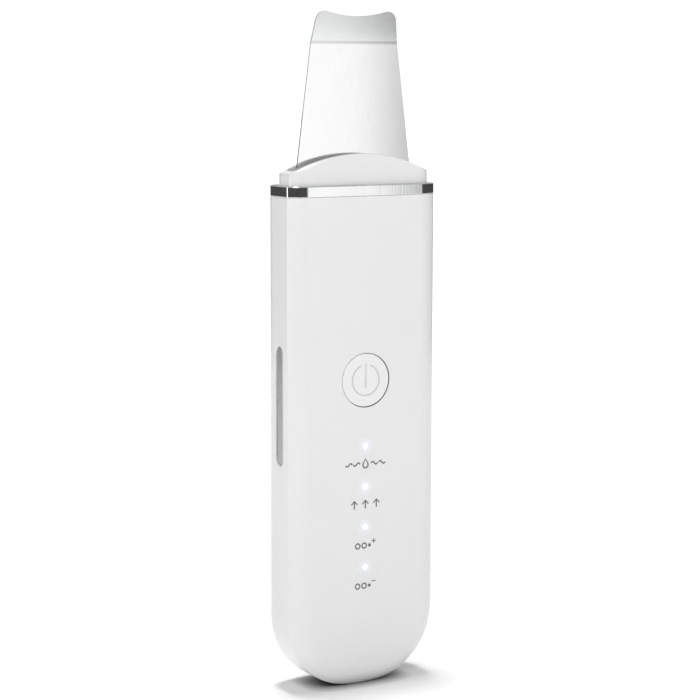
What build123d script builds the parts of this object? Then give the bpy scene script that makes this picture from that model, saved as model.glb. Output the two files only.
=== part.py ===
"""Ultrasonic skin scrubber: a slim handle with a steel spatula blade at its top end.

Millimetres. +Z runs along the handle from its rounded bottom end to the blade, the front
with the button faces -Y, and the origin is the bottom centre of the whole object.
"""
from build123d import *
import os
from math import atan2, degrees, sqrt

# ---------------------------------------------------------------- driving dimensions
# Handle
body_width = 40.6          # across the flat sides
body_depth = 13.8          # front face to rear face
body_height = 119.55       # rounded bottom end to the underside of the chrome ring
end_round = 40.0           # radius of the middle of the bottom end
corner_x = 2.8             # centre of each arc that joins the bottom end to a side
wall = 1.5                 # moulded wall of both covers
front_round = 6.0          # radius that the front face rolls over with
front_crease = 1.4         # how much of that roll the flat sides cut away
crease_softening = 0.4     # small radius left on the cut
rear_round = 4.5           # radius between the sides and the rear face
rear_lid_depth = 2.0       # how far the rear cover reaches forward from the rear face

# Chrome ring and head cap
ring_height = 2.6
ring_edge = 0.15           # chamfer that draws the thin line above and below the ring
head_inset = 1.24          # step from the ring in to the head, at the sides
head_front_inset = 1.85    # the same step at the front
head_rear_inset = 2.2      # and at the rear
shoulder_height = 2.85     # ring to the ends of the arch
arch_rise = 4.55           # ends of the arch to its crown
arch_front_round = 0.8     # the arch rolls over to the front face
arch_rear_round = 3.6      # and much more gently to the rear face
head_roof = 2.2            # solid top of the head above the ring
neck_length = 12.0         # collar below the ring, inside the handle
neck_wall = 1.3
neck_fit = 0.1             # between the collar and the covers

# Slot in the head
slot_end_wall = 1.36
slot_width = 4.7
slot_lead = 0.55           # middle of the slot, forward of the blade
slot_corner = 1.2
seal_recess = 0.2          # top of the seal below the top of the head
seal_slit_gap = 0.15       # round the blade

# Spatula blade
blade_setback = 6.0        # front face of the handle to the middle of the blade
blade_thickness = 0.4
blade_side_margin = 1.9    # end of the slot to the edge of the blade
blade_reach = 33.2         # top of the ring to the bend
tip_length = 8.4           # bend to the sharp corners that the ears are rounded from
tip_lean = 1.35            # how far the tip leans forward
bend_width = 23.8
tip_width = 21.2
ear_dip = 1.9              # hollow between the two ears
tip_corner = 2.4
bend_radius = 9.0
root_width = 17.0          # tongue that carries the piezo disc
root_length = 29.0         # top of the ring down to the end of the tongue
root_shoulder = 13.0       # top of the ring down to where the blade is full width

# Blade mounting
clamp_drop = 8.2           # top of the ring down to the screws
clamp_spacing = 16.0
clamp_length = 24.0
clamp_height = 6.4
clamp_thickness = 1.2
damper_thickness = 0.8
boss_diameter = 5.0
screw_diameter = 1.8
screw_grip = 2.6           # depth of the pilot hole in a boss
screw_spare = 0.3          # pilot hole past the end of the screw
recess_width = 0.45        # arms of the cross in a screw head
recess_span = 0.6          # length of those arms, as a share of the head
screw_head_diameter = 3.4
screw_head_height = 1.1
thread_fit = 0.02          # screw shank in its pilot hole, all round
shank_gap = 0.15           # screw shank in a through hole, all round
access_gap = 0.5           # driver hole round a screw head, all round
piezo_diameter = 14.0
piezo_thickness = 1.0
piezo_end_margin = 0.9     # end of the tongue to the edge of the disc

# Power button and its switch
button_drop = 44.15        # underside of the ring to the middle of the button
button_diameter = 12.9
button_gap = 0.15
button_edge = 0.2
button_travel = 0.25
button_flange = 0.85       # how far the hidden flange reaches past the cap
button_flange_thickness = 0.7
flange_gap = 0.1
stem_diameter = 2.8
stem_gap = 0.05            # stem to plunger
plunger_diameter = 2.0
plunger_gap = 0.05
plunger_stand = 0.3        # plunger above the switch
plunger_length = 0.85
plunger_floor = 0.05       # left under the plunger at full travel
switch_size = 5.2
switch_height = 1.0

# Status lights
led_drop = 16.0            # middle of the button to the first light
led_pitch = 10.0
led_count = 4
led_size = (1.6, 0.6, 0.8)
led_window = 1.4
window_fit = 0.02
guide_width = 4.4
guide_thickness = 0.8
guide_margin = 3.0         # bar past the first and last light
guide_led_gap = 0.25

# Side electrodes
electrode_length = 28.8
electrode_width = 3.7
electrode_recess = 0.4
electrode_gap = 0.08       # round the electrode in its opening
electrode_edge = 0.15
electrode_drop = 49.9      # underside of the ring to the middle of the electrode
electrode_setback = 2.8    # start of the rear radius to the middle of the electrode
electrode_flange = 0.8
electrode_flange_thickness = 0.6
pocket_chamfer = 0.3
spring_strip = 0.2
spring_height = 2.5
spring_gap = 0.02

# Board
board_setback = 4.3        # front face of the handle to the board
board_thickness = 1.0
board_side_gap = 2.4       # board to the inside of the covers
board_end_gap = 2.6        # board to the tongue of the blade
board_screw_inset = 7.8    # side of the handle to the screws
board_screw_rise = 22.0    # bottom of the handle to the lower screws
board_screw_drop = 5.0     # top of the board to the upper screws
board_boss_diameter = 3.6
board_screw_diameter = 1.6
board_screw_head = 2.8
board_screw_head_height = 0.9
board_screw_grip = 1.9     # shank below the board

# Battery
battery_side_margin = 5.3  # side of the handle to the battery
battery_rise = 46.0        # bottom of the handle to the battery
battery_drop = 10.0        # top of the board to the battery
battery_edge = 1.2
tape_thickness = 0.6
pad_thickness = 1.2
pad_margin = 3.0

# USB-C socket
usb_width = 8.94
usb_height = 3.16
usb_length = 7.3
usb_recess = 0.9
usb_shell = 0.3
usb_tongue = (6.7, 0.7)
usb_opening_gap = 0.35
usb_tongue_recess = 0.6

# Wires
wire_diameter = 0.8
wire_gap = 0.02            # wire to what it lies on
battery_lead_spacing = 2.0
battery_lead_bend = 0.7
battery_lead_rise = 1.5    # front face of the battery to its wires
piezo_lead_spacing = 5.0
piezo_lead_bend = 1.6
piezo_lead_lap = 4.0       # wire that lies on the disc and on the board

# Parts on the rear of the board: width, height, thickness, and place (x, rise)
connector_size = (6.0, 3.4, 2.6)
connector_x = -10.5
connector_drop = 4.5       # battery to the middle of the connector
transformer_size = (9.0, 9.0, 4.0)
transformer_place = (8.0, 33.0)
transformer_core = 1.1     # ferrite flange at each end of the winding
controller_size = (6.0, 6.0, 0.9)
controller_place = (-5.5, 32.0)
charger_size = (3.0, 3.0, 0.8)
charger_place = (-6.0, 18.0)
inductor_size = (5.0, 5.0, 2.2)
inductor_place = (6.5, 16.5)
transistor_size = (3.0, 3.0, 1.1)
transistor_places = [(0.0, 22.5), (5.0, 23.5)]
capacitor_size = (1.3, 2.0, 1.1)
capacitor_places = [(-1.5, 41.5), (1.0, 41.5), (3.5, 41.5), (-10.5, 27.5), (0.0, 14.0)]

# Locating lip and snaps of the rear cover
lip_height = 1.5
lip_thickness = 1.0
lip_gap = 0.15
snap_length = 6.0
snap_reach = 0.5
snap_shelf = 0.4           # seam to the shelf of a snap
snap_depth = 0.7           # shelf to the start of its ramp
snap_count = 3
snap_rise = 35.0           # bottom of the handle to the first pair of snaps
snap_drop = 8.0            # top of the lip to the last pair

# ---------------------------------------------------------------- derived places
half_width = body_width / 2
front_y = -body_depth / 2
rear_y = body_depth / 2
seam_y = rear_y - rear_lid_depth
inner_front_y = front_y + wall
inner_rear_y = rear_y - wall
ring_top = body_height + ring_height
neck_bottom = body_height - neck_length
neck_front_y = inner_front_y + neck_fit + neck_wall
neck_inset = wall + neck_fit
cavity_inset = neck_inset + neck_wall
head_half_width = half_width - head_inset
head_front_y = front_y + head_front_inset
head_rear_y = rear_y - head_rear_inset
roof_z = ring_top + shoulder_height - head_roof
crown_z = ring_top + shoulder_height + arch_rise
arch_radius = (head_half_width**2 + arch_rise**2) / (2 * arch_rise)
arch_centre_z = crown_z - arch_radius
form_top = crown_z + 2 * front_round   # the forms run past every piece and are trimmed

corner_round = half_width - corner_x
corner_z = end_round - sqrt((end_round - corner_round) ** 2 - corner_x**2)
end_angle = degrees(atan2(corner_x, end_round - corner_z))

blade_y = front_y + blade_setback
blade_front_y = blade_y - blade_thickness / 2
blade_rear_y = blade_y + blade_thickness / 2
slot_half_length = head_half_width - slot_end_wall
blade_half_width = slot_half_length - blade_side_margin
bend_z = ring_top + blade_reach
tip_z = bend_z + tip_length
root_z = ring_top - root_length
clamp_z = ring_top - clamp_drop
clamp_front_y = blade_rear_y + damper_thickness
clamp_rear_y = clamp_front_y + clamp_thickness
clamp_boss_y = blade_front_y - damper_thickness
piezo_z = root_z + piezo_end_margin + piezo_diameter / 2

button_z = body_height - button_drop
hole_radius = button_diameter / 2 + button_gap
led_heights = [button_z - led_drop - led_pitch * i for i in range(led_count)]

board_front_y = front_y + board_setback
board_rear_y = board_front_y + board_thickness
board_top = root_z - board_end_gap
board_screw_x = half_width - board_screw_inset
board_screw_places = [
    (side * board_screw_x, height)
    for side in (-1, 1)
    for height in (board_screw_rise, board_top - board_screw_drop)
]
switch_front_y = board_front_y - switch_height
plunger_front_y = switch_front_y - plunger_stand

electrode_z = body_height - electrode_drop
electrode_y = rear_y - rear_round - electrode_setback
inner_side_x = half_width - wall

battery_z = battery_rise
battery_top = board_top - battery_drop
battery_half_width = half_width - battery_side_margin
battery_front_y = board_rear_y + tape_thickness
battery_rear_y = inner_rear_y - pad_thickness

usb_y = board_rear_y + usb_height / 2


# ---------------------------------------------------------------- shared shapes
def facing(y):
    """Sketch plane at depth y that looks out of the front; extruding runs to the front."""
    return Plane.XZ.offset(-y)


def draw_outline(inset, top=form_top, mode=Mode.ADD):
    """Front outline of the handle: straight sides and an end of three arcs, drawn inset."""
    side_x = half_width - inset
    with BuildLine() as outline:
        CenterArc((0, end_round), end_round - inset, 270 - end_angle, 2 * end_angle)
        CenterArc((corner_x, corner_z), corner_round - inset, 270 + end_angle, 90 - end_angle)
        CenterArc((-corner_x, corner_z), corner_round - inset, 180, 90 - end_angle)
        Polyline((side_x, corner_z), (side_x, top), (-side_x, top), (-side_x, corner_z))
    make_face(outline.edges(), mode=mode)


def handle_form(inset, front_inset=None, rear_inset=None, rear_radius=None):
    """Form of the handle, moved inwards by inset: rolled front, flat sides, round rear."""
    front_inset = inset if front_inset is None else front_inset
    rear_inset = inset if rear_inset is None else rear_inset
    rear_radius = rear_round - inset if rear_radius is None else rear_radius
    roll = front_round - inset
    depth = body_depth - front_inset - rear_inset
    crease_y = front_y + front_inset + roll - sqrt(roll**2 - (roll - front_crease) ** 2)
    with BuildPart() as form:
        with BuildSketch(facing(rear_y - rear_inset)):
            draw_outline(inset - front_crease)
        extrude(amount=depth)
        fillet(form.faces().sort_by(Axis.Y)[0].edges().sort_by(Axis.Z)[:-1], roll)
        with BuildSketch(facing(rear_y - rear_inset)):
            draw_outline(inset)
        extrude(amount=depth, mode=Mode.INTERSECT)
        crease = form.edges().filter_by_position(Axis.Y, crease_y - 0.01, crease_y + 0.01)
        fillet(crease, crease_softening)
        fillet(form.faces().sort_by(Axis.Y)[-1].edges().sort_by(Axis.Z)[:-1], rear_radius)
    return form.part


def slice_of(form, low, high):
    """The stretch of a form between two heights."""
    with BuildPart() as piece:
        add(form)
        split(bisect_by=Plane.XY.offset(low), keep=Keep.TOP)
        split(bisect_by=Plane.XY.offset(high), keep=Keep.BOTTOM)
    return piece.part


def screw_set(places, seat_y, shank_diameter, shank_length, head_diameter, head_height):
    """Pan-head cross-recess screws driven forwards from a seat."""
    with BuildPart() as screws:
        with BuildSketch(facing(seat_y)):
            with Locations(*places):
                Circle(shank_diameter / 2)
        extrude(amount=shank_length)
        with BuildSketch(facing(seat_y)):
            with Locations(*places):
                Circle(head_diameter / 2)
        extrude(amount=-head_height)
        fillet(screws.faces().sort_by(Axis.Y)[-1].edges(), head_height / 3)
        with BuildSketch(facing(seat_y + head_height)):
            with Locations(*places):
                Rectangle(recess_span * head_diameter, recess_width)
                Rectangle(recess_width, recess_span * head_diameter)
        extrude(amount=head_height / 2, mode=Mode.SUBTRACT)
    return screws.part


def board_block(places, size):
    """Plain blocks that stand on the rear of the board."""
    width, height, thickness = size
    with BuildPart() as blocks:
        with BuildSketch(facing(board_rear_y + thickness)):
            with Locations(*places):
                Rectangle(width, height)
        extrude(amount=thickness)
    return blocks.part


def wires(routes, bend):
    """Round wires that follow filleted routes."""
    with BuildPart() as strands:
        for points in routes:
            with BuildLine() as route:
                FilletPolyline(*points, radius=bend)
            with BuildSketch(Plane(route.line @ 0, z_dir=route.line % 0)):
                Circle(wire_diameter / 2)
            sweep(path=route.line)
    return strands.part


outer_form = handle_form(0)
inner_form = handle_form(wall)
head_form = handle_form(head_inset, head_front_inset, head_rear_inset, rear_round)
neck_form = handle_form(neck_inset)
cavity_form = handle_form(cavity_inset)


# ---------------------------------------------------------------- covers
with BuildPart() as front_cover:
    add(outer_form)
    add(inner_form, mode=Mode.SUBTRACT)
    split(bisect_by=Plane.XY.offset(body_height), keep=Keep.BOTTOM)
    split(bisect_by=facing(seam_y), keep=Keep.TOP)
    # bosses that carry the board
    with BuildSketch(facing(board_front_y)):
        with Locations(*board_screw_places):
            Circle(board_boss_diameter / 2)
    extrude(amount=board_front_y - inner_front_y)
    with BuildSketch(facing(board_front_y)):
        with Locations(*board_screw_places):
            Circle(board_screw_diameter / 2 + thread_fit)
    extrude(amount=board_screw_grip, mode=Mode.SUBTRACT)
    # openings in the front: button and light windows
    with BuildSketch(facing(front_y)):
        with Locations((0, button_z)):
            Circle(hole_radius)
        with Locations(*[(0, height) for height in led_heights]):
            Circle(led_window / 2 + window_fit)
    extrude(amount=-wall, mode=Mode.SUBTRACT)
    # openings in the sides, with a chamfered rim, for the electrodes
    for side in (-1, 1):
        with BuildSketch(Plane.YZ.offset(side * inner_side_x)):
            with Locations((electrode_y, electrode_z)):
                SlotOverall(electrode_length, electrode_width, rotation=90)
        extrude(amount=side * wall, mode=Mode.SUBTRACT)
        with BuildSketch(Plane.YZ.offset(side * half_width)):
            with Locations((electrode_y, electrode_z)):
                SlotOverall(electrode_length + 2 * pocket_chamfer,
                            electrode_width + 2 * pocket_chamfer, rotation=90)
        extrude(amount=-side * pocket_chamfer, taper=45, mode=Mode.SUBTRACT)
    # opening for the charging socket in the bottom end
    with BuildSketch(Plane.XY):
        with Locations((0, usb_y)):
            SlotOverall(usb_width + 2 * usb_opening_gap, usb_height + 2 * usb_opening_gap)
    extrude(amount=2 * wall, mode=Mode.SUBTRACT)
front_cover.part.label = "front_cover"


# inside edge of the front cover at the seam, where the lip of the rear cover drops in
inner_rear_round = rear_round - wall
lip_inset = rear_round - sqrt(inner_rear_round**2 - (rear_round - rear_lid_depth) ** 2) + lip_gap
lip_x = half_width - lip_inset
lip_top = neck_bottom - lip_gap
shelf_y = seam_y - snap_shelf
snap_pitch = (lip_top - snap_drop - snap_length - snap_rise) / (snap_count - 1)

with BuildPart() as rear_cover:
    add(outer_form)
    add(inner_form, mode=Mode.SUBTRACT)
    split(bisect_by=Plane.XY.offset(body_height), keep=Keep.BOTTOM)
    split(bisect_by=facing(seam_y), keep=Keep.BOTTOM)
    with BuildSketch(facing(inner_rear_y)):
        draw_outline(lip_inset, lip_top)
        draw_outline(lip_inset + lip_thickness, lip_top, mode=Mode.SUBTRACT)
    extrude(amount=inner_rear_y - seam_y + lip_height)
    # snaps that hook behind the rolled edge of the front cover
    for row in range(snap_count):
        with BuildSketch(Plane.XY.offset(snap_rise + row * snap_pitch)):
            for side in (-1, 1):
                with BuildLine():
                    Polyline((side * lip_x, shelf_y), (side * (lip_x + snap_reach), shelf_y),
                             (side * lip_x, shelf_y - snap_depth),
                             (side * (lip_x - lip_thickness), shelf_y - snap_depth),
                             (side * (lip_x - lip_thickness), shelf_y), close=True)
                make_face()
        extrude(amount=snap_length)
rear_cover.part.label = "rear_cover"


# ---------------------------------------------------------------- ring, head and seal
with BuildPart() as chrome_ring:
    add(slice_of(outer_form, body_height, ring_top))
    add(slice_of(inner_form, body_height, ring_top), mode=Mode.SUBTRACT)
    rims = chrome_ring.faces().filter_by(Axis.Z)
    chamfer([rim.outer_wire().edges() for rim in rims], ring_edge)
chrome_ring.part.label = "chrome_ring"

clamp_places = [(side * clamp_spacing / 2, clamp_z) for side in (-1, 1)]

with BuildPart() as head_cap:
    # a disc with rolled edges: its rim is the arch over the head
    with BuildSketch(facing(head_rear_y)):
        with Locations((0, arch_centre_z)):
            Circle(arch_radius)
    extrude(amount=head_rear_y - head_front_y)
    rims = head_cap.edges().filter_by(GeomType.CIRCLE).sort_by(Axis.Y)
    fillet(rims[0], arch_front_round)
    fillet(rims[-1], arch_rear_round)
    add(slice_of(head_form, ring_top, form_top - 1), mode=Mode.INTERSECT)
    add(slice_of(neck_form, neck_bottom, ring_top))
    add(slice_of(cavity_form, neck_bottom, roof_z), mode=Mode.SUBTRACT)
    # bosses on the front wall of the neck that the blade is clamped to
    with BuildSketch(facing(clamp_boss_y)):
        with Locations(*clamp_places):
            Circle(boss_diameter / 2)
    extrude(amount=clamp_boss_y - neck_front_y)
    with BuildSketch(facing(clamp_boss_y)):
        with Locations(*clamp_places):
            Circle(screw_diameter / 2 + thread_fit)
    extrude(amount=screw_grip, mode=Mode.SUBTRACT)
    # driver holes in the rear wall of the neck
    with BuildSketch(facing(rear_y)):
        with Locations(*clamp_places):
            Circle(screw_head_diameter / 2 + access_gap)
    extrude(amount=rear_y - clamp_rear_y, mode=Mode.SUBTRACT)
    # slot for the blade and its seal
    with BuildSketch(Plane.XY.offset(roof_z)):
        with Locations((0, blade_y - slot_lead)):
            RectangleRounded(2 * slot_half_length, slot_width, slot_corner)
    extrude(amount=form_top - roof_z, mode=Mode.SUBTRACT)
head_cap.part.label = "head_cap"

with BuildPart() as slot_seal:
    with BuildSketch(facing(rear_y)):
        with Locations((0, arch_centre_z)):
            Circle(arch_radius - seal_recess)
    extrude(amount=body_depth)
    with BuildSketch(Plane.XY.offset(roof_z)):
        with Locations((0, blade_y - slot_lead)):
            RectangleRounded(2 * slot_half_length, slot_width, slot_corner)
    extrude(amount=form_top - roof_z, mode=Mode.INTERSECT)
    with BuildSketch(Plane.XY.offset(roof_z)):
        with Locations((0, blade_y)):
            Rectangle(2 * (blade_half_width + seal_slit_gap),
                      blade_thickness + 2 * seal_slit_gap)
    extrude(amount=form_top - roof_z, mode=Mode.SUBTRACT)
slot_seal.part.label = "slot_seal"


# ---------------------------------------------------------------- blade and its mounting
with BuildPart() as spatula_blade:
    # side profile: straight strip whose tip leans forwards
    with BuildSketch(Plane.YZ.offset(-half_width)):
        with BuildLine() as blade_side:
            FilletPolyline((blade_y, root_z), (blade_y, bend_z),
                           (blade_y - 2 * tip_lean, bend_z + 2 * tip_length),
                           radius=bend_radius)
        trace(line_width=blade_thickness)
    extrude(amount=body_width)
    # front outline: tongue, full width in the head, taper, two ears at the tip
    with BuildSketch(facing(rear_y)) as blade_outline:
        with BuildLine():
            side_points = [
                (root_width / 2, root_z),
                (root_width / 2, ring_top - root_shoulder - (blade_half_width - root_width / 2)),
                (blade_half_width, ring_top - root_shoulder),
                (blade_half_width, roof_z + head_roof),
                (bend_width / 2, bend_z),
                (tip_width / 2, tip_z),
            ]
            Polyline(*side_points)
            Polyline(*[(-x, height) for x, height in side_points])
            Line((-root_width / 2, root_z), (root_width / 2, root_z))
            ThreePointArc((-tip_width / 2, tip_z), (0, tip_z - ear_dip), (tip_width / 2, tip_z))
        make_face()
        fillet(blade_outline.vertices().group_by(Axis.Y)[-1], tip_corner)
        with Locations(*clamp_places):
            Circle(screw_diameter / 2 + shank_gap, mode=Mode.SUBTRACT)
    extrude(amount=2 * body_depth, mode=Mode.INTERSECT)
spatula_blade.part.label = "spatula_blade"

dampers = {}
for name, near_y in (("damper_front", blade_front_y), ("damper_rear", clamp_front_y)):
    with BuildPart() as damper:
        with BuildSketch(facing(near_y)):
            with Locations((0, clamp_z)):
                RectangleRounded(clamp_length, clamp_height, clamp_height / 4)
            with Locations(*clamp_places):
                Circle(screw_diameter / 2 + shank_gap, mode=Mode.SUBTRACT)
        extrude(amount=damper_thickness)
    damper.part.label = name
    dampers[name] = damper.part

with BuildPart() as clamp_plate:
    with BuildSketch(facing(clamp_rear_y)):
        with Locations((0, clamp_z)):
            RectangleRounded(clamp_length, clamp_height, clamp_height / 4)
        with Locations(*clamp_places):
            Circle(screw_diameter / 2 + shank_gap, mode=Mode.SUBTRACT)
    extrude(amount=clamp_thickness)
clamp_plate.part.label = "clamp_plate"

clamp_stack = clamp_rear_y - clamp_boss_y
with BuildPart() as clamp_screws:
    add(screw_set(clamp_places, clamp_rear_y, screw_diameter,
                  clamp_stack + screw_grip - screw_spare,
                  screw_head_diameter, screw_head_height))
clamp_screws.part.label = "clamp_screws"

with BuildPart() as piezo_disc:
    with BuildSketch(facing(blade_rear_y + piezo_thickness)):
        with Locations((0, piezo_z)):
            Circle(piezo_diameter / 2)
    extrude(amount=piezo_thickness)
piezo_disc.part.label = "piezo_disc"


# ---------------------------------------------------------------- board, button and lights
with BuildPart() as main_board:
    with BuildSketch(facing(board_rear_y)):
        draw_outline(wall + board_side_gap, board_top)
        with Locations(*board_screw_places):
            Circle(board_screw_diameter / 2 + shank_gap, mode=Mode.SUBTRACT)
    extrude(amount=board_thickness)
main_board.part.label = "main_board"

with BuildPart() as board_screws:
    add(screw_set(board_screw_places, board_rear_y, board_screw_diameter,
                  board_thickness + board_screw_grip - screw_spare,
                  board_screw_head, board_screw_head_height))
board_screws.part.label = "board_screws"

plunger_rear_y = plunger_front_y + plunger_length
with BuildPart() as tact_switch:
    with BuildSketch(facing(board_front_y)):
        with Locations((0, button_z)):
            Rectangle(switch_size, switch_size)
    extrude(amount=switch_height)
    with BuildSketch(facing(plunger_rear_y + button_travel + plunger_floor)):
        with Locations((0, button_z)):
            Circle(plunger_diameter / 2 + plunger_gap)
    extrude(amount=switch_height, mode=Mode.SUBTRACT)
tact_switch.part.label = "tact_switch"

with BuildPart() as switch_plunger:
    with BuildSketch(facing(plunger_rear_y)):
        with Locations((0, button_z)):
            Circle(plunger_diameter / 2)
    extrude(amount=plunger_length)
switch_plunger.part.label = "switch_plunger"

flange_rear_y = inner_front_y + flange_gap + button_flange_thickness
stem_rear_y = plunger_front_y - stem_gap
with BuildPart() as power_button:
    with BuildSketch(facing(flange_rear_y)):
        with Locations((0, button_z)):
            Circle(button_diameter / 2)
    extrude(amount=flange_rear_y - front_y)
    fillet(power_button.faces().sort_by(Axis.Y)[0].edges(), button_edge)
    with BuildSketch(facing(flange_rear_y)):
        with Locations((0, button_z)):
            Circle(button_diameter / 2 + button_flange)
    extrude(amount=button_flange_thickness)
    with BuildSketch(facing(stem_rear_y)):
        with Locations((0, button_z)):
            Circle(stem_diameter / 2)
    extrude(amount=stem_rear_y - flange_rear_y)
power_button.part.label = "power_button"

lights = []
led_width, led_thickness, led_height = led_size
for number, height in enumerate(led_heights, start=1):
    with BuildPart() as led:
        with BuildSketch(facing(board_front_y)):
            with Locations((0, height)):
                Rectangle(led_width, led_height)
        extrude(amount=led_thickness)
    led.part.label = f"led_{number}"
    lights.append(led.part)

led_front_y = board_front_y - led_thickness
light_places = [(0, height) for height in led_heights]
guide_length = led_heights[0] - led_heights[-1] + 2 * guide_margin
with BuildPart() as light_guide:
    with BuildSketch(facing(inner_front_y + guide_thickness)):
        with Locations((0, (led_heights[0] + led_heights[-1]) / 2)):
            SlotOverall(guide_length, guide_width, rotation=90)
    extrude(amount=guide_thickness)
    with BuildSketch(facing(led_front_y - guide_led_gap)):
        with Locations(*light_places):
            Circle(led_window / 2)
    extrude(amount=led_front_y - guide_led_gap - front_y)
light_guide.part.label = "light_guide"


# ---------------------------------------------------------------- side electrodes
electrodes = []
flange_x = inner_side_x - electrode_flange_thickness
spring_x = flange_x - spring_gap
foot_y = board_rear_y + spring_strip / 2
foot_x = half_width - wall - board_side_gap - spring_strip
for side, name in ((-1, "left"), (1, "right")):
    with BuildPart() as electrode:
        with BuildSketch(Plane.YZ.offset(side * flange_x)):
            with Locations((electrode_y, electrode_z)):
                SlotOverall(electrode_length - 2 * electrode_gap,
                            electrode_width - 2 * electrode_gap, rotation=90)
        extrude(amount=side * (electrode_flange_thickness + wall - electrode_recess))
        fillet(electrode.faces().sort_by(Axis.X)[-1 if side > 0 else 0].edges(), electrode_edge)
        with BuildSketch(Plane.YZ.offset(side * flange_x)):
            with Locations((electrode_y, electrode_z)):
                SlotOverall(electrode_length + 2 * electrode_flange,
                            electrode_width + 2 * electrode_flange, rotation=90)
        extrude(amount=side * electrode_flange_thickness)
    electrode.part.label = f"side_electrode_{name}"
    electrodes.append(electrode.part)

    # bent strip that carries the current from the board to the electrode
    with BuildPart() as spring:
        with BuildSketch(Plane.XY.offset(electrode_z - spring_height / 2)):
            with BuildLine():
                Polyline((side * (foot_x - spring_height), foot_y), (side * foot_x, foot_y),
                         (side * (foot_x + spring_x) / 2, electrode_y + spring_height / 2),
                         (side * (spring_x - spring_strip), electrode_y))
            trace(line_width=spring_strip)
        extrude(amount=spring_height)
    spring.part.label = f"electrode_spring_{name}"
    electrodes.append(spring.part)


# ---------------------------------------------------------------- battery and socket
battery_middle = (battery_z + battery_top) / 2
battery_length = battery_top - battery_z
with BuildPart() as battery:
    with BuildSketch(facing(battery_rear_y)):
        with Locations((0, battery_middle)):
            Rectangle(2 * battery_half_width, battery_length)
    extrude(amount=battery_rear_y - battery_front_y)
    fillet(battery.edges().filter_by(Axis.Z), battery_edge)
battery.part.label = "battery"

pads = []
for name, near_y, thickness in (("battery_tape", battery_front_y, tape_thickness),
                                ("battery_pad", inner_rear_y, pad_thickness)):
    with BuildPart() as pad:
        with BuildSketch(facing(near_y)):
            with Locations((0, battery_middle)):
                Rectangle(2 * (battery_half_width - pad_margin), battery_length - 2 * pad_margin)
        extrude(amount=thickness)
    pad.part.label = name
    pads.append(pad.part)

with BuildPart() as usb_port:
    with BuildSketch(Plane.XY.offset(usb_recess)):
        with Locations((0, usb_y)):
            SlotOverall(usb_width, usb_height)
    extrude(amount=usb_length)
    with BuildSketch(Plane.XY.offset(usb_recess)):
        with Locations((0, usb_y)):
            SlotOverall(usb_width - 2 * usb_shell, usb_height - 2 * usb_shell)
    extrude(amount=usb_length - 2 * usb_shell, mode=Mode.SUBTRACT)
    with BuildSketch(Plane.XY.offset(usb_recess + usb_tongue_recess)):
        with Locations((0, usb_y)):
            Rectangle(*usb_tongue)
    extrude(amount=usb_length - usb_tongue_recess)
usb_port.part.label = "usb_port"


# ---------------------------------------------------------------- parts on the rear of the board
connector_place = (connector_x, battery_z - connector_drop)
with BuildPart() as battery_connector:
    add(board_block([connector_place], connector_size))
battery_connector.part.label = "battery_connector"

with BuildPart() as drive_transformer:
    add(board_block([transformer_place], transformer_size))
    # the winding is narrower than the two flanges of the core
    _, core_height, core_thickness = transformer_size
    with BuildSketch(facing(board_rear_y + core_thickness - transformer_core)):
        with Locations(transformer_place):
            Rectangle(2 * core_height, 2 * core_height)
            Circle(core_height / 2 - transformer_core / 2, mode=Mode.SUBTRACT)
    extrude(amount=core_thickness - 2 * transformer_core, mode=Mode.SUBTRACT)
drive_transformer.part.label = "drive_transformer"

chips = []
for name, places, size in (("controller_chip", [controller_place], controller_size),
                           ("charger_chip", [charger_place], charger_size),
                           ("power_inductor", [inductor_place], inductor_size),
                           ("driver_transistors", transistor_places, transistor_size),
                           ("capacitors", capacitor_places, capacitor_size)):
    with BuildPart() as chip:
        add(board_block(places, size))
    chip.part.label = name
    chips.append(chip.part)

connector_top = connector_place[1] + connector_size[1] / 2
lead_y = battery_front_y + battery_lead_rise
plug_y = board_rear_y + connector_size[2] / 2
lead_step = (battery_z - connector_top) / 3
with BuildPart() as battery_leads:
    add(wires([[(connector_x + x, lead_y, battery_z),
                (connector_x + x, lead_y, battery_z - lead_step),
                (connector_x + x, plug_y, connector_top + lead_step),
                (connector_x + x, plug_y, connector_top)]
               for x in (-battery_lead_spacing / 2, battery_lead_spacing / 2)],
              battery_lead_bend))
battery_leads.part.label = "battery_leads"

disc_wire_y = blade_rear_y + piezo_thickness + wire_diameter / 2 + wire_gap
board_wire_y = board_rear_y + wire_diameter / 2 + wire_gap
disc_bottom = piezo_z - piezo_diameter / 2
with BuildPart() as piezo_leads:
    add(wires([[(x, disc_wire_y, disc_bottom + piezo_lead_lap),
                (x, disc_wire_y, root_z - piezo_lead_bend / 2),
                (x, board_wire_y, board_top - piezo_lead_bend / 2),
                (x, board_wire_y, board_top - piezo_lead_lap)]
               for x in (-piezo_lead_spacing / 2, piezo_lead_spacing / 2)],
              piezo_lead_bend))
piezo_leads.part.label = "piezo_leads"


# ---------------------------------------------------------------- files
pieces = [
    front_cover.part, rear_cover.part, chrome_ring.part, head_cap.part, slot_seal.part,
    spatula_blade.part, dampers["damper_front"], dampers["damper_rear"], clamp_plate.part,
    clamp_screws.part, piezo_disc.part, main_board.part, board_screws.part, tact_switch.part,
    switch_plunger.part, power_button.part, *lights, light_guide.part, *electrodes,
    battery.part, *pads, usb_port.part, battery_connector.part, drive_transformer.part,
    *chips, battery_leads.part, piezo_leads.part,
]
os.makedirs("parts", exist_ok=True)
for piece in pieces:
    export_step(piece, f"parts/{piece.label}.step")
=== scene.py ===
"""Looks of the skin scrubber: materials, printed marks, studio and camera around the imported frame."""

from math import cos, pi, radians, sin

import bmesh
import bpy
from mathutils import Matrix, Vector


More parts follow.
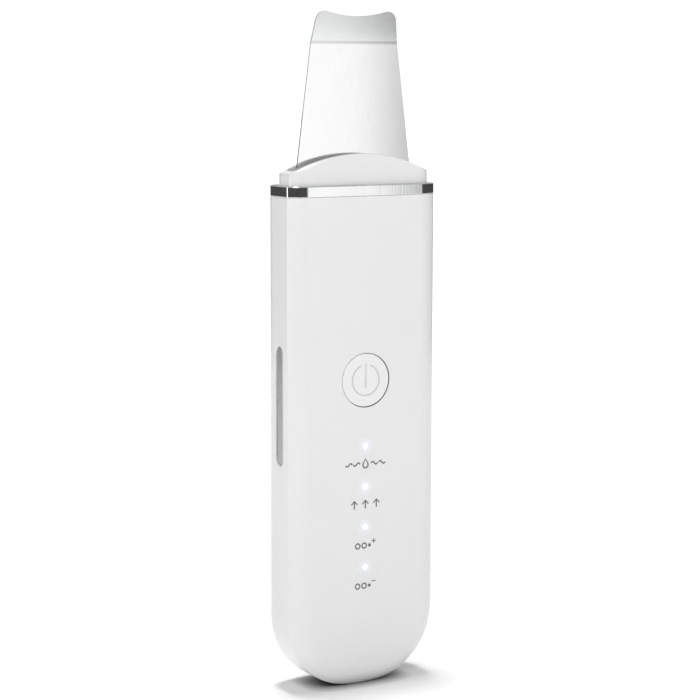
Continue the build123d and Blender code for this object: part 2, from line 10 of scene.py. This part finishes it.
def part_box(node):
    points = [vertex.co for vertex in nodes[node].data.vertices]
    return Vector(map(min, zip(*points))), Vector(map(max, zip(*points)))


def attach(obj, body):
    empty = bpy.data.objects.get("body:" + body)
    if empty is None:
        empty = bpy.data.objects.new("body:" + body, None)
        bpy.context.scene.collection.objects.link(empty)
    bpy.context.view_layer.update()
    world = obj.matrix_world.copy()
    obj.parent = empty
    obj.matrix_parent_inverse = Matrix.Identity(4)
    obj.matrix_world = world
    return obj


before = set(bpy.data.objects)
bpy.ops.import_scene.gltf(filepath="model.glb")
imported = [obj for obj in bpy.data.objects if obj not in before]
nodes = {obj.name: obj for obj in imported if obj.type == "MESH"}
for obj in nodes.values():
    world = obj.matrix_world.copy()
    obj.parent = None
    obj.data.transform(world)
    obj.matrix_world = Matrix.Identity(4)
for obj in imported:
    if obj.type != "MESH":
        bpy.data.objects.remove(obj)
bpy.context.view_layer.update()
scene = bpy.context.scene

MM = 0.001

# ---------------------------------------------------------------- places read from the frame
cover_low, cover_high = [Vector(corner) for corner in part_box("front_cover")]
button_low, button_high = [Vector(corner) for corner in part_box("power_button")]
blade_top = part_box("spatula_blade")[1][2]
front_y = cover_low.y
seam_y = cover_high.y
button_z = (button_low.z + button_high.z) / 2
electrode_low, electrode_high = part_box("side_electrode_left")
electrode_y = (electrode_low[1] + electrode_high[1]) / 2
light_heights = []
for light_number in range(1, 5):
    led_low, led_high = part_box(f"led_{light_number}")
    light_heights.append((led_low[2] + led_high[2]) / 2)

# ---------------------------------------------------------------- camera
# Seen from the left of the front and a little above, through a long lens.
CAMERA_PLACE = Vector((-253.8, -428.9, 149.35)) * MM
CAMERA_TURN = radians(30.58)     # from straight at the front, towards the left side
CAMERA_DIP = radians(7.71)
CAMERA_ROLL = radians(-0.15)
CAMERA_LENS = 106.6


def add_camera():
    forward = Vector((sin(CAMERA_TURN) * cos(CAMERA_DIP),
                      cos(CAMERA_TURN) * cos(CAMERA_DIP), -sin(CAMERA_DIP)))
    data = bpy.data.cameras.new("camera")
    data.lens = CAMERA_LENS
    data.sensor_width = 36
    data.clip_start = 0.01
    camera = bpy.data.objects.new("camera", data)
    aim = forward.to_track_quat("-Z", "Y").to_matrix().to_4x4()
    roll = Matrix.Rotation(-CAMERA_ROLL, 4, "Z")
    camera.matrix_world = Matrix.Translation(CAMERA_PLACE) @ aim @ roll
    scene.collection.objects.link(camera)
    scene.camera = camera


# ---------------------------------------------------------------- material helpers
def new_material(name):
    material = bpy.data.materials.new(name)
    material.use_nodes = True
    tree = material.node_tree
    tree.nodes.clear()
    output = tree.nodes.new("ShaderNodeOutputMaterial")
    shader = tree.nodes.new("ShaderNodeBsdfPrincipled")
    tree.links.new(shader.outputs[0], output.inputs[0])
    return material, tree, shader


def object_place(tree, stretch=(1, 1, 1)):
    """Position on the object in metres, scaled along each axis."""
    place = tree.nodes.new("ShaderNodeTexCoord")
    mapping = tree.nodes.new("ShaderNodeMapping")
    mapping.inputs["Scale"].default_value = stretch
    tree.links.new(place.outputs["Object"], mapping.inputs["Vector"])
    return mapping.outputs["Vector"]


def noise(tree, place, size, detail=3.0):
    """Noise whose features are about size metres across."""
    texture = tree.nodes.new("ShaderNodeTexNoise")
    texture.inputs["Scale"].default_value = 1 / size
    texture.inputs["Detail"].default_value = detail
    tree.links.new(place, texture.inputs["Vector"])
    return texture.outputs["Fac"]


def spread(tree, value, low, high, start=0.3, end=0.7, smooth=False):
    """Value stretched from start..end to low..high."""
    node = tree.nodes.new("ShaderNodeMapRange")
    if smooth:
        node.interpolation_type = "SMOOTHSTEP"
    node.inputs["From Min"].default_value = start
    node.inputs["From Max"].default_value = end
    node.inputs["To Min"].default_value = low
    node.inputs["To Max"].default_value = high
    tree.links.new(value, node.inputs["Value"])
    return node.outputs["Result"]


def blend(tree, factor, first, second):
    """Colour from first to second; each is a colour or a socket."""
    node = tree.nodes.new("ShaderNodeMix")
    node.data_type = "RGBA"
    tree.links.new(factor, node.inputs["Factor"])
    for socket, colour in ((node.inputs["A"], first), (node.inputs["B"], second)):
        if isinstance(colour, bpy.types.NodeSocket):
            tree.links.new(colour, socket)
        else:
            socket.default_value = (*colour, 1)
    return node.outputs["Result"]


def maths(tree, operation, first, second=None):
    node = tree.nodes.new("ShaderNodeMath")
    node.operation = operation
    for socket, value in zip(node.inputs, (first, second)):
        if value is None:
            continue
        if isinstance(value, bpy.types.NodeSocket):
            tree.links.new(value, socket)
        else:
            socket.default_value = value
    return node.outputs[0]


def axis_of(tree, axis):
    """One coordinate of the position on the object."""
    split = tree.nodes.new("ShaderNodeSeparateXYZ")
    tree.links.new(object_place(tree), split.inputs[0])
    return split.outputs[axis]


def bump(tree, shader, height, depth, soften=0.0):
    """Relief of the given depth in metres, over edges softened by a radius."""
    node = tree.nodes.new("ShaderNodeBump")
    node.inputs["Strength"].default_value = 1.0
    node.inputs["Distance"].default_value = depth
    tree.links.new(height, node.inputs["Height"])
    if soften:
        edge = tree.nodes.new("ShaderNodeBevel")
        edge.samples = 6
        edge.inputs["Radius"].default_value = soften
        tree.links.new(edge.outputs["Normal"], node.inputs["Normal"])
    tree.links.new(node.outputs["Normal"], shader.inputs["Normal"])


def surface(name, colour, roughness, metallic=0.0, grain=0.3 * MM, depth=2e-6, vary=0.03,
            stretch=(1, 1, 1), rough_spread=0.05, coat=0.0, soften=0.0):
    """Plain finish: broad colour variation, grain in the roughness and, with a depth, relief."""
    material, tree, shader = new_material(name)
    place = object_place(tree, stretch)
    fine = noise(tree, place, grain)
    broad = noise(tree, object_place(tree), 40 * grain, 2.0)
    low = [channel * (1 - vary) for channel in colour]
    high = [min(1.0, channel * (1 + vary)) for channel in colour]
    tint = blend(tree, spread(tree, broad, 0, 1), low, high)
    tree.links.new(tint, shader.inputs["Base Color"])
    rough = spread(tree, fine, max(0.0, roughness - rough_spread), roughness + rough_spread)
    tree.links.new(rough, shader.inputs["Roughness"])
    shader.inputs["Metallic"].default_value = metallic
    shader.inputs["Coat Weight"].default_value = coat
    shader.inputs["Coat Roughness"].default_value = 0.08
    if depth:
        bump(tree, shader, fine, depth, soften)
    return material, tree, shader


def paint(material, *names):
    for name in names:
        slots = nodes[name].data.materials
        slots.clear()
        slots.append(material)


# ---------------------------------------------------------------- outside finishes
SHELL = (0.84, 0.84, 0.845)
SEAM_HALF = 0.05 * MM
BUTTON_RADIUS = 6.45 * MM
BUTTON_GAP = 0.15 * MM
ELECTRODE_CROWN = 9.0 * MM     # radius of the convex face
ELECTRODE_GRAIN = 0.15 * MM
ALONG_ELECTRODE = (1, 1, 0.05)
BRUSHING_DEPTH = 0.0008 * MM
BLADE_TIP = 7.65 * MM          # from the bend to the top of the blade
BEND_SOFTNESS = 0.3 * MM
HALO_START = 0.5 * MM          # distances from the middle of a light
HALO_END = 2.4 * MM
HALO_GLOW = 0.1


def shell_material(name, soften=0.25 * MM):
    """Glossy white moulding with a faint moulded grain and a hairline at the seam."""
    material, tree, shader = surface(name, SHELL, 0.3, grain=0.25 * MM, depth=1.5e-6, vary=0.006,
                                     rough_spread=0.04, coat=0.25, soften=soften)
    from_seam = maths(tree, "ABSOLUTE", maths(tree, "SUBTRACT", axis_of(tree, "Y"), seam_y))
    line = spread(tree, from_seam, 1, 0, SEAM_HALF, 2 * SEAM_HALF)
    clean = shader.inputs["Base Color"].links[0].from_socket
    tree.links.new(blend(tree, line, clean, (0.42, 0.42, 0.43)), shader.inputs["Base Color"])
    return material, tree, shader


def front_shell():
    """The shell with the faint cold glow that the lights throw on it."""
    material, tree, shader = shell_material("front_shell")
    glow = None
    for height in light_heights:
        gap = tree.nodes.new("ShaderNodeVectorMath")
        gap.operation = "DISTANCE"
        tree.links.new(object_place(tree), gap.inputs[0])
        gap.inputs[1].default_value = (0, front_y, height)
        halo = spread(tree, gap.outputs["Value"], HALO_GLOW, 0, HALO_START, HALO_END, smooth=True)
        glow = halo if glow is None else maths(tree, "ADD", glow, halo)
    shader.inputs["Emission Color"].default_value = (0.62, 0.72, 1, 1)
    tree.links.new(glow, shader.inputs["Emission Strength"])
    # Painted shade round the button gap on the cover.
    shade_button_gap(tree, shader, 0.08 * MM)
    return material


def shade_button_gap(tree, shader, reach):
    """Painted shade: a dark line in the gap round the button, heavier at its lower right where the
    shade falls.
    """
    split = tree.nodes.new("ShaderNodeSeparateXYZ")
    tree.links.new(object_place(tree), split.inputs[0])
    across = split.outputs["X"]
    rise = maths(tree, "SUBTRACT", split.outputs["Z"], button_z)
    square = maths(tree, "ADD", maths(tree, "POWER", across, 2.0), maths(tree, "POWER", rise, 2.0))
    middle = BUTTON_RADIUS + BUTTON_GAP / 2
    from_gap = maths(tree, "ABSOLUTE", maths(tree, "SUBTRACT", maths(tree, "SQRT", square), middle))
    width = BUTTON_GAP / 2 + reach
    line = spread(tree, from_gap, 1, 0, width - 0.06 * MM, width + 0.02 * MM)
    # Painted shade, heavier towards the lower right.
    leaning = maths(tree, "SUBTRACT", across, maths(tree, "MULTIPLY", rise, 0.6))
    side = spread(tree, leaning, 0, 0.9, -0.35 * BUTTON_RADIUS, 0.8 * BUTTON_RADIUS, smooth=True)
    clean = shader.inputs["Base Color"].links[0].from_socket
    shaded = blend(tree, maths(tree, "MULTIPLY", line, side), clean, (0.16, 0.16, 0.165))
    tree.links.new(shaded, shader.inputs["Base Color"])


def button_plastic():
    material, tree, shader = surface("button_plastic", (0.87, 0.87, 0.875), 0.28, grain=0.25 * MM,
                                     depth=1.5e-6, vary=0.006, rough_spread=0.04, coat=0.3)
    # Painted shade on the button's rim in the gap.
    shade_button_gap(tree, shader, 0.06 * MM)
    return material


def chrome():
    """Mirror plating with faint upright polishing lines."""
    return surface("chrome", (0.92, 0.925, 0.935), 0.05, metallic=1, grain=0.35 * MM, depth=6e-6,
                   vary=0.03, stretch=(1, 1, 0.04), rough_spread=0.03, soften=0.12 * MM)[0]


def blade_steel():
    """Polished strip with hairline polishing marks along it, and painted shade: above the bend the
    colour is darker, for the darker reflection of the bent end.
    """
    material, tree, shader = surface("blade_steel", (0.97, 0.97, 0.97), 0.09, metallic=1,
                                     grain=0.12 * MM, depth=4e-7, vary=0.008,
                                     stretch=(1, 1, 0.03), rough_spread=0.03)
    # Painted shade: a darker colour above the bend stands in for the bent end's darker reflection.
    bend_z = blade_top - BLADE_TIP
    painted_tip_shade = spread(tree, axis_of(tree, "Z"), 0, 1, bend_z - BEND_SOFTNESS, bend_z + BEND_SOFTNESS,
                 smooth=True)
    clean = shader.inputs["Base Color"].links[0].from_socket
    tree.links.new(blend(tree, painted_tip_shade, clean, (0.7, 0.705, 0.71)), shader.inputs["Base Color"])
    return material


def electrode_plating():
    """Satin nickel, brushed along the electrode and ground slightly convex across it."""
    material, tree, shader = surface("electrode_plating", (0.4, 0.405, 0.41), 0.28, metallic=1,
                                     grain=ELECTRODE_GRAIN, depth=0, vary=0.03,
                                     stretch=ALONG_ELECTRODE, rough_spread=0.06)
    lines = noise(tree, object_place(tree, ALONG_ELECTRODE), ELECTRODE_GRAIN)
    brushing = maths(tree, "MULTIPLY", lines, BRUSHING_DEPTH)
    off_centre = maths(tree, "SUBTRACT", axis_of(tree, "Y"), electrode_y)
    fall = maths(tree, "MULTIPLY", maths(tree, "POWER", off_centre, 2.0), -0.5 / ELECTRODE_CROWN)
    bump(tree, shader, maths(tree, "ADD", brushing, fall), 1.0)
    return material


def seal_silicone():
    return surface("seal_silicone", (0.3, 0.3, 0.305), 0.45, grain=0.2 * MM, depth=4e-6,
                   vary=0.06, rough_spread=0.08)[0]


def lit_guide():
    """Milky light guide: white over each light and cooler towards the rim."""
    material, tree, shader = surface("lit_guide", (0.9, 0.93, 0.97), 0.35, grain=0.4 * MM,
                                     depth=1e-6, vary=0.01)
    split = tree.nodes.new("ShaderNodeSeparateXYZ")
    tree.links.new(object_place(tree), split.inputs[0])
    nearest = None
    for height in light_heights:
        rise = maths(tree, "SUBTRACT", split.outputs["Z"], height)
        square = maths(tree, "ADD", maths(tree, "POWER", rise, 2.0),
                       maths(tree, "POWER", split.outputs["X"], 2.0))
        gap = maths(tree, "SQRT", square)
        nearest = gap if nearest is None else maths(tree, "MINIMUM", nearest, gap)
    core = spread(tree, nearest, 1.0, 0.35, 0.45 * MM, 0.8 * MM, smooth=True)
    tree.links.new(blend(tree, core, (0.55, 0.66, 1), (1, 1, 1)), shader.inputs["Emission Color"])
    tree.links.new(core, shader.inputs["Emission Strength"])
    return material


# ---------------------------------------------------------------- inside finishes
def board_mask():
    """Green solder mask with lighter tracks under it."""
    material, tree, shader = surface("board_mask", (0.02, 0.16, 0.07), 0.35, grain=0.3 * MM,
                                     depth=3e-6, vary=0.08, coat=0.4)
    tracks = tree.nodes.new("ShaderNodeTexBrick")
    tracks.inputs["Scale"].default_value = 220
    tracks.inputs["Mortar Size"].default_value = 0.03
    tracks.inputs["Color1"].default_value = (0, 0, 0, 1)
    tracks.inputs["Color2"].default_value = (0, 0, 0, 1)
    tracks.inputs["Mortar"].default_value = (1, 1, 1, 1)
    turned = tree.nodes.new("ShaderNodeMapping")
    turned.inputs["Rotation"].default_value = (pi / 2, 0, 0)
    tree.links.new(object_place(tree), turned.inputs["Vector"])
    tree.links.new(turned.outputs["Vector"], tracks.inputs["Vector"])
    clean = shader.inputs["Base Color"].links[0].from_socket
    tree.links.new(blend(tree, tracks.outputs["Color"], clean, (0.05, 0.3, 0.13)),
                   shader.inputs["Base Color"])
    return material


def pouch_foil():
    """Laminated foil with the soft wrinkles of a sealed pouch."""
    material, tree, shader = surface("pouch_foil", (0.66, 0.67, 0.69), 0.38, metallic=0.6,
                                     grain=0.5 * MM, depth=0, vary=0.04)
    wrinkles = noise(tree, object_place(tree), 4 * MM, 5.0)
    bump(tree, shader, wrinkles, 6e-5)
    return material


def screw_plating():
    return surface("screw_plating", (0.5, 0.5, 0.52), 0.32, metallic=1, grain=0.12 * MM,
                   depth=3e-6, vary=0.05, rough_spread=0.1)[0]


def paint_inside():
    steel = surface("stamped_steel", (0.55, 0.55, 0.57), 0.36, metallic=1, grain=0.2 * MM,
                    depth=3e-6, vary=0.04, stretch=(0.08, 1, 1), rough_spread=0.08)[0]
    paint(steel, "clamp_plate")
    paint(screw_plating(), "clamp_screws", "board_screws")
    paint(surface("damper_silicone", (0.72, 0.72, 0.73), 0.5, depth=4e-6, vary=0.04)[0],
          "damper_front", "damper_rear")
    paint(surface("fired_silver", (0.74, 0.73, 0.7), 0.42, metallic=0.8, grain=0.1 * MM,
                  depth=5e-6, vary=0.06, rough_spread=0.1)[0], "piezo_disc")
    paint(board_mask(), "main_board")
    paint(surface("switch_nylon", (0.03, 0.03, 0.03), 0.5, depth=4e-6, vary=0.2)[0], "tact_switch")
    paint(surface("plunger_nylon", (0.3, 0.3, 0.31), 0.45, depth=4e-6, vary=0.1)[0],
          "switch_plunger")
    paint(surface("led_resin", (0.9, 0.87, 0.62), 0.25, grain=0.1 * MM, vary=0.05, coat=0.5)[0],
          "led_1", "led_2", "led_3", "led_4")
    paint(surface("spring_brass", (0.75, 0.57, 0.27), 0.3, metallic=1, grain=0.1 * MM,
                  vary=0.06, stretch=(0.1, 1, 1))[0],
          "electrode_spring_left", "electrode_spring_right")
    paint(pouch_foil(), "battery")
    paint(surface("cell_foam", (0.05, 0.05, 0.05), 0.85, grain=0.4 * MM, depth=8e-5,
                  vary=0.25)[0], "battery_tape", "battery_pad")
    paint(surface("socket_steel", (0.6, 0.6, 0.62), 0.28, metallic=1, grain=0.15 * MM,
                  depth=2e-6, vary=0.03)[0], "usb_port")
    paint(surface("connector_nylon", (0.82, 0.78, 0.66), 0.48, depth=4e-6, vary=0.04)[0],
          "battery_connector")
    paint(surface("ferrite", (0.06, 0.06, 0.065), 0.62, grain=0.15 * MM, depth=1e-5, vary=0.2)[0],
          "drive_transformer", "power_inductor")
    paint(surface("chip_epoxy", (0.03, 0.03, 0.033), 0.55, grain=0.1 * MM, depth=6e-6,
                  vary=0.15)[0], "controller_chip", "charger_chip", "driver_transistors")
    paint(surface("capacitor_ceramic", (0.5, 0.36, 0.23), 0.5, grain=0.1 * MM, depth=5e-6,
                  vary=0.1)[0], "capacitors")
    paint(surface("red_sleeve", (0.5, 0.02, 0.02), 0.42, depth=4e-6, vary=0.06)[0],
          "battery_leads")
    paint(surface("blue_sleeve", (0.03, 0.1, 0.42), 0.42, depth=4e-6, vary=0.06)[0],
          "piezo_leads")


# ---------------------------------------------------------------- printed marks
INK_HEIGHT = 0.012 * MM
STROKE = 0.36 * MM


def arc(centre, radius, start, end, steps=40):
    """Points of an arc in the front plane; angles in degrees from +X towards +Z."""
    points = []
    for step in range(steps + 1):
        angle = radians(start + (end - start) * step / steps)
        points.append((centre[0] + radius * cos(angle), centre[1] + radius * sin(angle)))
    return points


def add_ribbon(mesh, points, width, closed=False):
    """Ink of even width along a line of points in the front plane, with a thickness."""
    count = len(points)
    rails = []
    for index, point in enumerate(points):
        before = points[(index - 1) % count] if closed or index else point
        after = points[(index + 1) % count] if closed or index < count - 1 else point
        along = Vector((after[0] - before[0], after[1] - before[1])).normalized()
        aside = Vector((-along.y, along.x)) * width / 2
        rail = []
        for side, lift in ((1, 0), (-1, 0), (-1, 1), (1, 1)):
            rail.append(mesh.verts.new((point[0] + side * aside.x, front_y - lift * INK_HEIGHT,
                                        point[1] + side * aside.y)))
        rails.append(rail)
    spans = count if closed else count - 1
    for index in range(spans):
        first = rails[index]
        second = rails[(index + 1) % count]
        for edge in range(4):
            after = (edge + 1) % 4
            mesh.faces.new((first[edge], first[after], second[after], second[edge]))
    if not closed:
        mesh.faces.new(rails[0])
        mesh.faces.new(rails[-1][::-1])


def add_dot(mesh, centre, radius, steps=32):
    """Filled round spot of ink."""
    rim = arc(centre, radius, 0, 360, steps)[:-1]
    lower = [mesh.verts.new((x, front_y, z)) for x, z in rim]
    upper = [mesh.verts.new((x, front_y - INK_HEIGHT, z)) for x, z in rim]
    mesh.faces.new(lower[::-1])
    mesh.faces.new(upper)
    for index in range(steps):
        after = (index + 1) % steps
        mesh.faces.new((lower[index], lower[after], upper[after], upper[index]))


def finish_mark(mesh, name, body, ink):
    bmesh.ops.recalc_face_normals(mesh, faces=mesh.faces)
    data = bpy.data.meshes.new(name)
    mesh.to_mesh(data)
    mesh.free()
    data.materials.append(ink)
    mark = bpy.data.objects.new(name, data)
    scene.collection.objects.link(mark)
    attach(mark, body)


def add_power_mark(ink):
    mesh = bmesh.new()
    centre = (0, button_z)
    add_ribbon(mesh, arc(centre, 3.72 * MM, 110, 430, 90), 0.4 * MM)
    add_ribbon(mesh, [(0, button_z - 2.0 * MM), (0, button_z + 3.9 * MM)], 0.4 * MM)
    finish_mark(mesh, "power_mark", "button", ink)


def add_drop_mark(ink, height):
    """Water drop between two ripples: the cleansing mode."""
    mesh = bmesh.new()
    low = (0, height - 0.3 * MM)
    radius = 0.72 * MM
    drop = arc(low, radius, -210, 30, 36)
    peak = (0, height + 1.2 * MM)
    add_ribbon(mesh, drop + [peak], STROKE, closed=True)
    for side in (-1, 1):
        for reach in (1.55 * MM, 3.7 * MM):
            wave = []
            for step in range(25):
                share = step / 24
                wave.append((side * (reach + share * 1.85 * MM),
                             height + 0.36 * MM * sin(2 * pi * share)))
            add_ribbon(mesh, wave, STROKE)
    finish_mark(mesh, "drop_mark", "handle", ink)


def add_lift_mark(ink, height):
    """Row of upward arrows: the lifting mode."""
    mesh = bmesh.new()
    for x in (-3.1 * MM, 0, 3.1 * MM):
        add_ribbon(mesh, [(x, height - 1.0 * MM), (x, height + 0.85 * MM)], STROKE)
        add_ribbon(mesh, [(x - 0.85 * MM, height + 0.1 * MM), (x, height + 1.0 * MM),
                          (x + 0.85 * MM, height + 0.1 * MM)], STROKE)
    finish_mark(mesh, "lift_mark", "handle", ink)


def add_charge_mark(ink, height, positive):
    """Three charged spots with a small raised plus or minus."""
    mesh = bmesh.new()
    for x in (-2.1 * MM, -0.3 * MM):
        add_ribbon(mesh, arc((x, height - 0.2 * MM), 0.62 * MM, 0, 360, 32)[:-1], STROKE,
                   closed=True)
    add_dot(mesh, (1.2 * MM, height - 0.2 * MM), 0.42 * MM)
    sign = (2.4 * MM, height + 0.75 * MM)
    reach = 0.6 * MM
    add_ribbon(mesh, [(sign[0] - reach, sign[1]), (sign[0] + reach, sign[1])], 0.24 * MM)
    if positive:
        for way in (-1, 1):
            add_ribbon(mesh, [(sign[0], sign[1] + way * 0.12 * MM),
                              (sign[0], sign[1] + way * reach)], 0.24 * MM)
    name = "plus_mark" if positive else "minus_mark"
    finish_mark(mesh, name, "handle", ink)


MARK_DROP = 4.4 * MM       # middle of a light to the middle of its mark


def add_marks():
    pale_ink = surface("pale_ink", (0.62, 0.62, 0.63), 0.45, grain=0.1 * MM, depth=2e-6,
                       vary=0.06)[0]
    grey_ink = surface("grey_ink", (0.15, 0.15, 0.155), 0.5, grain=0.1 * MM, depth=2e-6,
                       vary=0.1)[0]
    add_power_mark(pale_ink)
    add_drop_mark(grey_ink, light_heights[0] - MARK_DROP)
    add_lift_mark(grey_ink, light_heights[1] - MARK_DROP)
    add_charge_mark(grey_ink, light_heights[2] - MARK_DROP, True)
    add_charge_mark(grey_ink, light_heights[3] - MARK_DROP, False)


# ---------------------------------------------------------------- studio
def stage_mesh(name, mesh, material):
    data = bpy.data.meshes.new(name)
    mesh.to_mesh(data)
    mesh.free()
    data.materials.append(material)
    thing = bpy.data.objects.new(name, data)
    scene.collection.objects.link(thing)
    return thing


def flat_glow(name, colour, strength):
    """Plain light of one colour, for the backdrop and the surround."""
    material = bpy.data.materials.new(name)
    material.use_nodes = True
    tree = material.node_tree
    tree.nodes.clear()
    output = tree.nodes.new("ShaderNodeOutputMaterial")
    glow = tree.nodes.new("ShaderNodeEmission")
    glow.inputs["Color"].default_value = (*colour, 1)
    glow.inputs["Strength"].default_value = strength
    tree.links.new(glow.outputs[0], output.inputs[0])
    return material


CONTACT_REACH = 4 * MM         # how close to the object the painted contact shadow darkens the floor
FLOOR_GLOW_START = 0.1         # the floor glows from here outwards, so that it stays white
FLOOR_GLOW_END = 0.7


def add_floor():
    """Plain white floor with a painted contact shadow: its colour darkens right beside the object."""
    mesh = bmesh.new()
    bmesh.ops.create_grid(mesh, x_segments=8, y_segments=8, size=6)
    material, tree, shader = new_material("floor_white")
    grain = noise(tree, object_place(tree), 2 * MM)
    tree.links.new(spread(tree, grain, 0.75, 0.85), shader.inputs["Roughness"])
    # Painted contact shadow: occlusion by the object darkens the floor's colour.
    near = tree.nodes.new("ShaderNodeAmbientOcclusion")
    near.samples = 8
    near.inputs["Distance"].default_value = CONTACT_REACH
    shade = maths(tree, "POWER", near.outputs["AO"], 0.8)
    tree.links.new(blend(tree, shade, (0.02, 0.02, 0.02), (0.94, 0.94, 0.94)),
                   shader.inputs["Base Color"])
    shader.inputs["Specular IOR Level"].default_value = 0.2
    far = tree.nodes.new("ShaderNodeVectorMath")
    far.operation = "LENGTH"
    tree.links.new(object_place(tree), far.inputs[0])
    lift = spread(tree, far.outputs["Value"], 0, 0.3, FLOOR_GLOW_START, FLOOR_GLOW_END, smooth=True)
    shader.inputs["Emission Color"].default_value = (1, 1, 1, 1)
    tree.links.new(lift, shader.inputs["Emission Strength"])
    stage_mesh("floor", mesh, material)


def add_backdrop():
    """Wide white surround, seen directly only; it lights nothing."""
    mesh = bmesh.new()
    bmesh.ops.create_uvsphere(mesh, u_segments=48, v_segments=24, radius=5.5)
    dome = stage_mesh("backdrop", mesh, flat_glow("backdrop_white", (1, 1, 1), 1.05))
    dome.visible_diffuse = False
    dome.visible_glossy = False
    dome.visible_transmission = False
    dome.visible_shadow = False


WORLD_LIGHT = 0.4
OVERHEAD_PLACE = (0, 0.16, 2.0)
OVERHEAD_SPREAD = radians(12)
OVERHEAD_LIGHT = 2.0
KEY_PLACE = (-0.29, -0.47, 0.54)
KEY_TARGET = (0, 0, 0.12)
KEY_SIZE = (0.3, 0.3)
KEY_LIGHT = 1.35

# Brightness of the surround seen in the plating, by direction: degrees from the front, right up.
SURROUND = (
    (-180, 0.0), (-134, 0.0), (-127, 2.8), (-80, 2.8), (-73, 0.0), (20.6, 0.0), (21.6, 1.05),
    (31.6, 1.0), (32.6, 0.68), (34.6, 0.4), (35.4, 0.06), (37, 0.0), (132, 0.0), (140, 0.4),
    (172, 0.4), (180, 0.0),
)
SURROUND_PEAK = 4.0


def surround_glow():
    material = flat_glow("surround_tone", (1, 1, 1), SURROUND_PEAK)
    tree = material.node_tree
    split = tree.nodes.new("ShaderNodeSeparateXYZ")
    tree.links.new(object_place(tree), split.inputs[0])
    ahead = maths(tree, "MULTIPLY", split.outputs["Y"], -1.0)
    turn = maths(tree, "ARCTAN2", split.outputs["X"], ahead)
    share = spread(tree, turn, 0, 1, -pi, pi)
    ramp = tree.nodes.new("ShaderNodeValToRGB")
    stops = ramp.color_ramp.elements
    while len(stops) > 1:
        stops.remove(stops[-1])
    for number, (degrees_right, level) in enumerate(SURROUND):
        place = (degrees_right + 180) / 360
        stop = stops[0] if number == 0 else stops.new(place)
        stop.position = place
        stop.color = (*[level / SURROUND_PEAK] * 3, 1)
    tree.links.new(share, ramp.inputs["Fac"])
    streaks = tree.nodes.new("ShaderNodeTexNoise")
    streaks.noise_dimensions = "1D"
    streaks.inputs["Scale"].default_value = 30
    streaks.inputs["Detail"].default_value = 2
    tree.links.new(turn, streaks.inputs["W"])
    low = spread(tree, streaks.outputs["Fac"], 0.0, 0.13, 0.36, 0.66)
    glow = tree.nodes["Emission"]
    level = maths(tree, "MULTIPLY", ramp.outputs["Color"], SURROUND_PEAK)
    tree.links.new(maths(tree, "MAXIMUM", level, low), glow.inputs["Strength"])
    return material


def add_surround(radius=0.6, high=0.2):
    """Upright band of light and dark cards, seen only in reflections."""
    mesh = bmesh.new()
    steps = 180
    columns = []
    for step in range(steps):
        turn = 2 * pi * step / steps
        place = (radius * sin(turn), -radius * cos(turn))
        columns.append([mesh.verts.new((*place, 0.0)), mesh.verts.new((*place, high))])
    for first, second in zip(columns, columns[1:] + columns[:1]):
        mesh.faces.new((first[0], second[0], second[1], first[1]))
    band = stage_mesh("surround", mesh, surround_glow())
    band.visible_camera = False
    band.visible_diffuse = False
    band.visible_shadow = False


def add_light(name, place, target, size, power, kind="AREA"):
    data = bpy.data.lights.new(name, kind)
    data.energy = power
    if kind == "AREA":
        data.shape = "RECTANGLE"
        data.size, data.size_y = size
    else:
        data.angle = size
    light = bpy.data.objects.new(name, data)
    aim = (Vector(target) - Vector(place)).to_track_quat("-Z", "Y").to_matrix().to_4x4()
    light.matrix_world = Matrix.Translation(place) @ aim
    scene.collection.objects.link(light)


def add_studio():
    world = bpy.data.worlds.new("studio")
    scene.world = world
    world.use_nodes = True
    background = world.node_tree.nodes["Background"]
    background.inputs["Color"].default_value = (1, 1, 1, 1)
    background.inputs["Strength"].default_value = WORLD_LIGHT
    add_floor()
    add_backdrop()
    add_light("overhead", OVERHEAD_PLACE, (0, 0, 0), OVERHEAD_SPREAD, OVERHEAD_LIGHT, "SUN")
    add_light("key", KEY_PLACE, KEY_TARGET, KEY_SIZE, KEY_LIGHT)
    add_surround()
    scene.view_settings.view_transform = "Standard"


# ---------------------------------------------------------------- everything together
paint(front_shell(), "front_cover")
paint(shell_material("rear_shell")[0], "rear_cover")
paint(shell_material("head_shell", 0.5 * MM)[0], "head_cap")
paint(button_plastic(), "power_button")
paint(chrome(), "chrome_ring")
paint(blade_steel(), "spatula_blade")
paint(seal_silicone(), "slot_seal")
paint(electrode_plating(), "side_electrode_left", "side_electrode_right")
paint(lit_guide(), "light_guide")
paint_inside()
add_marks()
add_camera()
add_studio()
